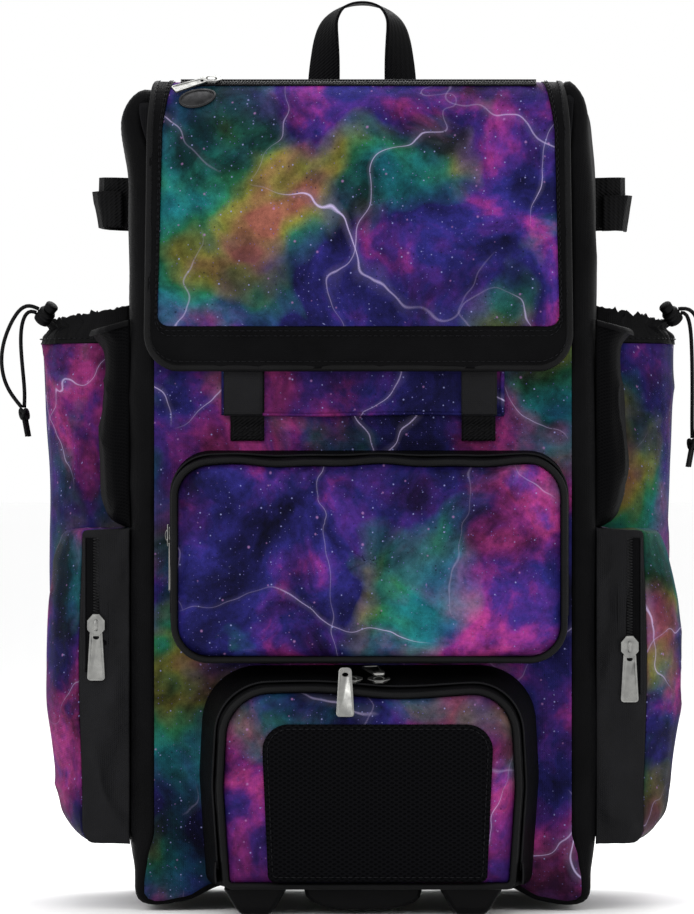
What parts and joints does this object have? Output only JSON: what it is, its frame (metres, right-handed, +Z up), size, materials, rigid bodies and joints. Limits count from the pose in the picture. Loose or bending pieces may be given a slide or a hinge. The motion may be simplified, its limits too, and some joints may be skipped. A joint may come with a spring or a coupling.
{
  "type": "baseball bat backpack",
  "caption": "Tall square bat backpack with a fold-over flap, zipped front and side pockets, bat sleeves with drawcords, mesh pockets, a webbing handle and shoulder straps.",
  "frame": {"origin": "on the ground, under the middle of the bag's footprint, straps included and drawcords left out", "axes": "+Z up, -Y towards the front with the flap and pockets, +X to the right as seen from the front"},
  "size_m": [0.5325, 0.3662, 0.6849],
  "materials": {
    "print": "printed polyester, matt",
    "black_cloth": "woven polyester, matt",
    "mesh": "open knitted mesh",
    "webbing": "ribbed webbing",
    "plastic": "moulded, fine grain",
    "metal": "satin nickel plate",
    "dark_metal": "dark nickel plate"
  },
  "bodies": {
    "root": {"flap_panel": "print", "front_panel": "print", "cross_band": "print", "middle_pocket_face": "print", "lower_pocket_face": "print", "side_pocket_panel_left": "print", "side_pocket_panel_right": "print", "bat_sleeve_left": "print", "bat_sleeve_right": "print", "gusset": "black_cloth", "flap_border": "black_cloth", "flap_zip": "black_cloth", "middle_pocket_wall": "black_cloth", "middle_pocket_piping": "black_cloth", "lower_pocket_wall": "black_cloth", "lower_pocket_piping": "black_cloth", "side_pocket_wall_left": "black_cloth", "side_pocket_wall_right": "black_cloth", "sleeve_rim_left": "black_cloth", "sleeve_rim_right": "black_cloth", "shoulder_pad_left": "black_cloth", "shoulder_pad_right": "black_cloth", "back_panel": "mesh", "lower_pocket_mesh": "mesh", "mesh_pocket_left": "mesh", "mesh_pocket_right": "mesh", "carry_handle": "webbing", "band_strap_left": "webbing", "band_strap_right": "webbing", "bat_strap_left": "webbing", "bat_strap_right": "webbing", "shoulder_webbing_left": "webbing", "shoulder_webbing_right": "webbing", "drawcord_left_front": "webbing", "drawcord_left_rear": "webbing", "drawcord_right_front": "webbing", "drawcord_right_rear": "webbing", "cord_knot_left": "webbing", "cord_knot_right": "webbing", "cord_lock_left": "plastic", "cord_lock_right": "plastic", "front_foot_left": "plastic", "front_foot_right": "plastic", "rear_foot_left": "plastic", "rear_foot_right": "plastic", "base_grip": "plastic", "side_slider_left": "metal", "side_slider_right": "metal", "side_pull_left": "metal", "side_pull_right": "metal", "middle_slider": "metal", "middle_pull": "metal", "lower_slider_left": "metal", "lower_slider_right": "metal", "lower_pull_left": "metal", "lower_pull_right": "metal", "flap_slider": "metal", "flap_pull": "dark_metal"}
  },
  "joints": []
}
